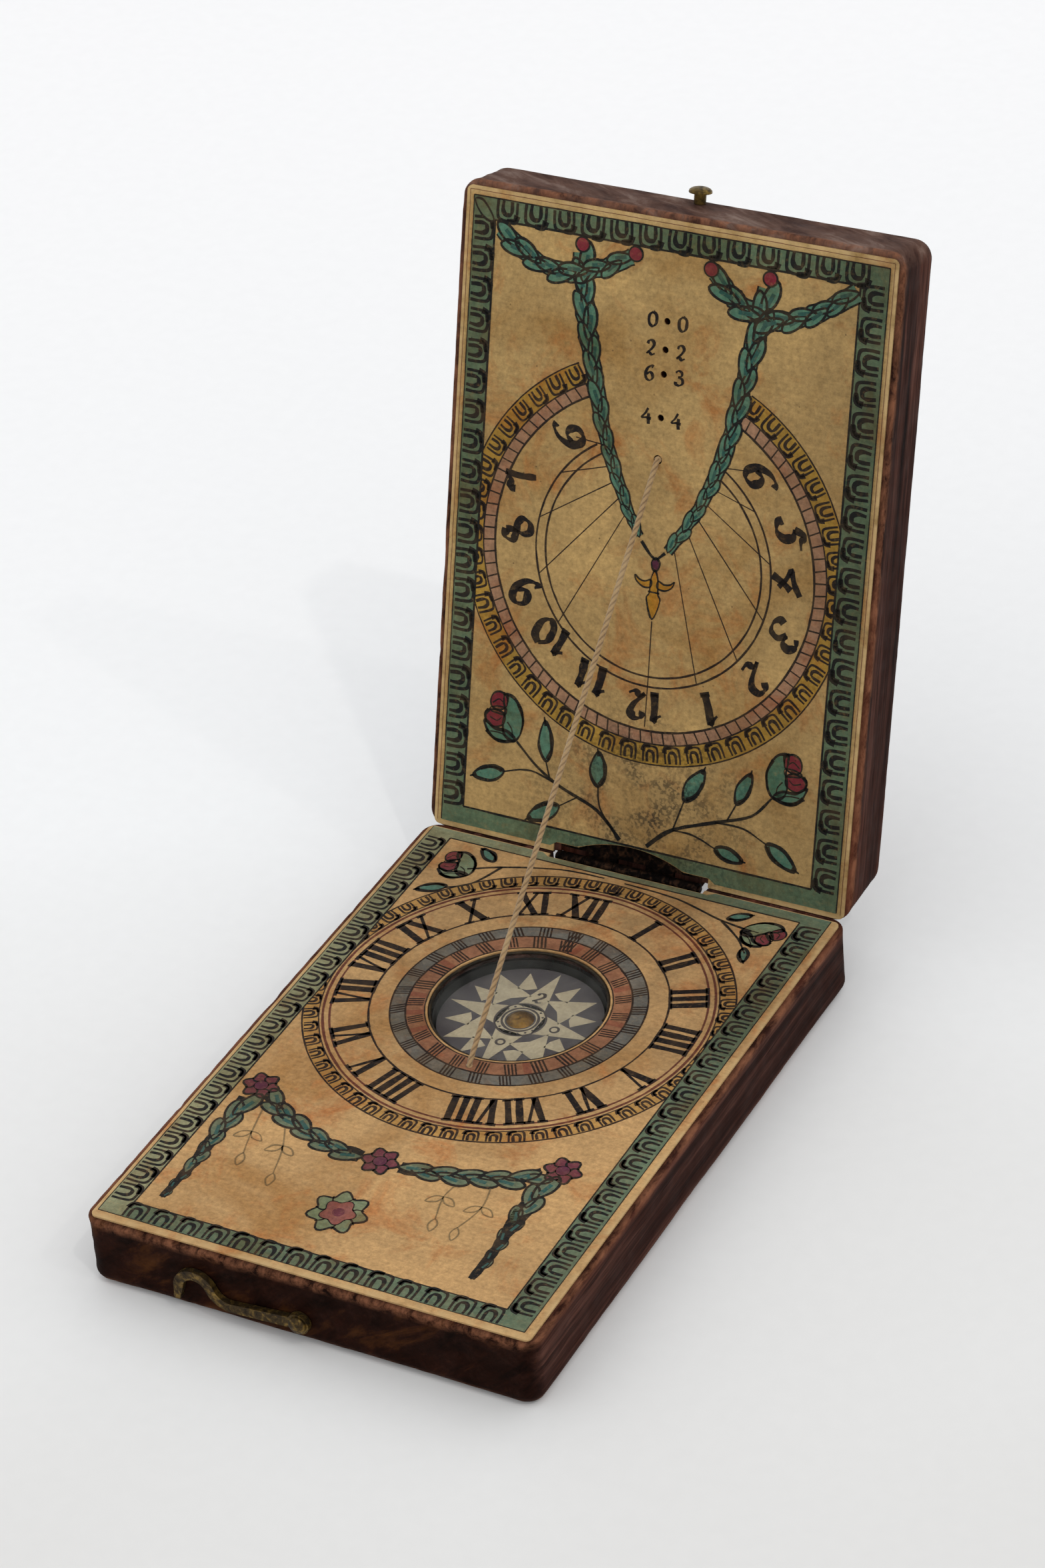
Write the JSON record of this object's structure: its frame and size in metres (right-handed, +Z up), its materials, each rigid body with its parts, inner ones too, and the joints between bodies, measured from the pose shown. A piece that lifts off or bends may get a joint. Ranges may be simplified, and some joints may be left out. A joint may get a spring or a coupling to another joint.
{
  "type": "diptych sundial",
  "caption": "Pocket diptych sundial: two hinged wooden leaves with paper dials, a string gnomon, a compass and a hook clasp.",
  "frame": {"origin": "middle of the lower leaf's resting face", "axes": "+Z up from the resting face, +Y along the lower leaf from the clasp to the hinge, +X along the hinge, to the right seen from the clasp"},
  "size_m": [0.0614, 0.1235, 0.0944],
  "materials": {
    "wood": "waxed, worn",
    "upper_paper": "aged printed paper",
    "lower_paper": "aged printed paper",
    "bowl": "matt dark lacquer",
    "glass": "polished",
    "iron": "blackened iron",
    "brass": "dull, tarnished",
    "string": "twisted thread",
    "card": "printed card",
    "steel": "blued"
  },
  "bodies": {
    "base": {"lower_leaf": "wood", "lower_dial_paper": "lower_paper", "compass_bowl": "bowl", "compass_pivot": "brass", "compass_glass": "glass", "glass_ring": "brass", "hinge_plate_lower": "iron", "hinge_pin": "iron", "hinge_nails_lower": "iron", "clasp_nail": "brass", "string_knot_lower": "string", "gnomon_string": "string"},
    "lid": {"upper_leaf": "wood", "upper_dial_paper": "upper_paper", "hinge_plate_upper": "iron", "hinge_nails_upper": "iron", "clasp_stud": "brass", "string_knot_upper": "string"},
    "compass": {"compass_card": "card", "compass_cap": "brass", "compass_magnet": "steel"},
    "hook": {"clasp_hook": "brass"}
  },
  "joints": [
    {"name": "lid_hinge", "type": "hinge", "parent": "base", "child": "lid", "pos_m": [0, 0.0441, 0.0097], "axis": [-1, 0, 0], "range_deg": [-106, 0], "deforming": ["gnomon_string"]},
    {"name": "compass_spin", "type": "hinge", "parent": "base", "child": "compass", "pos_m": [-0.0007, 0.0131, 0.0076], "axis": [0, 0, 1], "continuous": true},
    {"name": "clasp_swing", "type": "hinge", "parent": "base", "child": "hook", "pos_m": [-0.0007, -0.0445, 0.0036], "axis": [0, 1, 0], "continuous": true}
  ]
}
